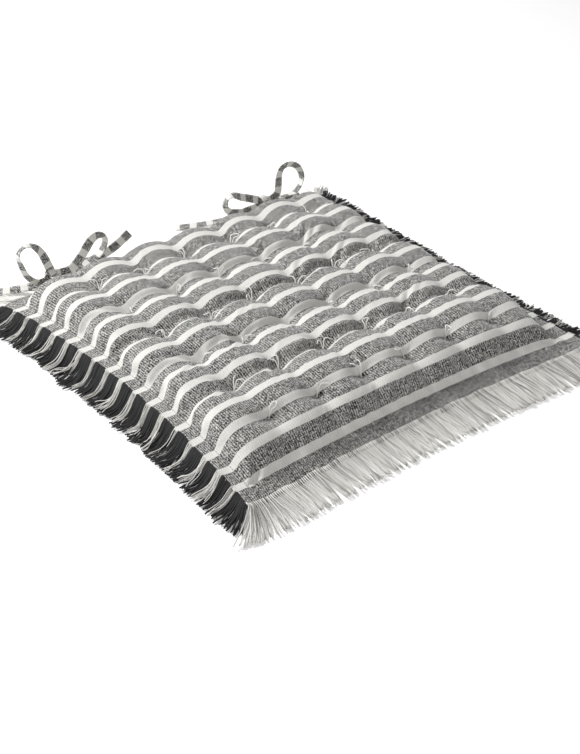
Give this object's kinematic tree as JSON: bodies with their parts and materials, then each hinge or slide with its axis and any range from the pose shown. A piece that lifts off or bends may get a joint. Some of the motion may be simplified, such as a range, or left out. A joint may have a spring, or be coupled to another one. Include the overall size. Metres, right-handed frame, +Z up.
{
  "type": "chair seat pad",
  "caption": "Square tufted chair seat pad in striped woven cotton with a self-fringe all round and tape ties knotted in bows at the rear corners.",
  "frame": {"origin": "middle of the underside, on the surface the pad rests on", "axes": "+X along the stripes to the right, +Y towards the rear edge with the ties, +Z up"},
  "size_m": [0.4966, 0.5379, 0.0653],
  "materials": {
    "cover": "woven cotton, wide grey chambray bands and narrow off-white bands along X",
    "wadding": "soft white polyester wadding",
    "fringe_dark": "loose cotton yarns, black blocks with narrow off-white blocks",
    "fringe_light": "loose off-white cotton yarns",
    "thread": "off-white cotton thread",
    "tape": "folded striped cotton tape, grey and off-white bands across it"
  },
  "bodies": {
    "pad": {"top_cover": "cover", "bottom_cover": "cover", "wadding": "wadding", "fringe_front": "fringe_light", "fringe_rear": "fringe_light", "fringe_left": "fringe_dark", "fringe_right": "fringe_dark", "seam_needle_thread": "thread", "seam_bobbin_thread": "thread", "rear_left_tie_tab": "tape", "rear_right_tie_tab": "tape", "tuft_row1_col1": "thread", "tuft_row1_col2": "thread", "tuft_row1_col3": "thread", "tuft_row1_col4": "thread", "tuft_row1_col5": "thread", "tuft_row1_col6": "thread", "tuft_row2_col1": "thread", "tuft_row2_col2": "thread", "tuft_row2_col3": "thread", "tuft_row2_col4": "thread", "tuft_row2_col5": "thread", "tuft_row2_col6": "thread", "tuft_row3_col1": "thread", "tuft_row3_col2": "thread", "tuft_row3_col3": "thread", "tuft_row3_col4": "thread", "tuft_row3_col5": "thread", "tuft_row3_col6": "thread", "tuft_row4_col1": "thread", "tuft_row4_col2": "thread", "tuft_row4_col3": "thread", "tuft_row4_col4": "thread", "tuft_row4_col5": "thread", "tuft_row4_col6": "thread", "tuft_row5_col1": "thread", "tuft_row5_col2": "thread", "tuft_row5_col3": "thread", "tuft_row5_col4": "thread", "tuft_row5_col5": "thread", "tuft_row5_col6": "thread", "tuft_row6_col1": "thread", "tuft_row6_col2": "thread", "tuft_row6_col3": "thread", "tuft_row6_col4": "thread", "tuft_row6_col5": "thread", "tuft_row6_col6": "thread"},
    "left_tie": {"rear_left_tie": "tape"},
    "right_tie": {"rear_right_tie": "tape"}
  },
  "joints": [
    {"name": "rear_left_tie_swing", "type": "hinge", "parent": "pad", "child": "left_tie", "pos_m": [-0.14667, 0.21594, 0.01967], "axis": [1, 0, 0], "range_deg": [0, 60]},
    {"name": "rear_right_tie_swing", "type": "hinge", "parent": "pad", "child": "right_tie", "pos_m": [0.14667, 0.21594, 0.01967], "axis": [1, 0, 0], "range_deg": [0, 60]}
  ]
}
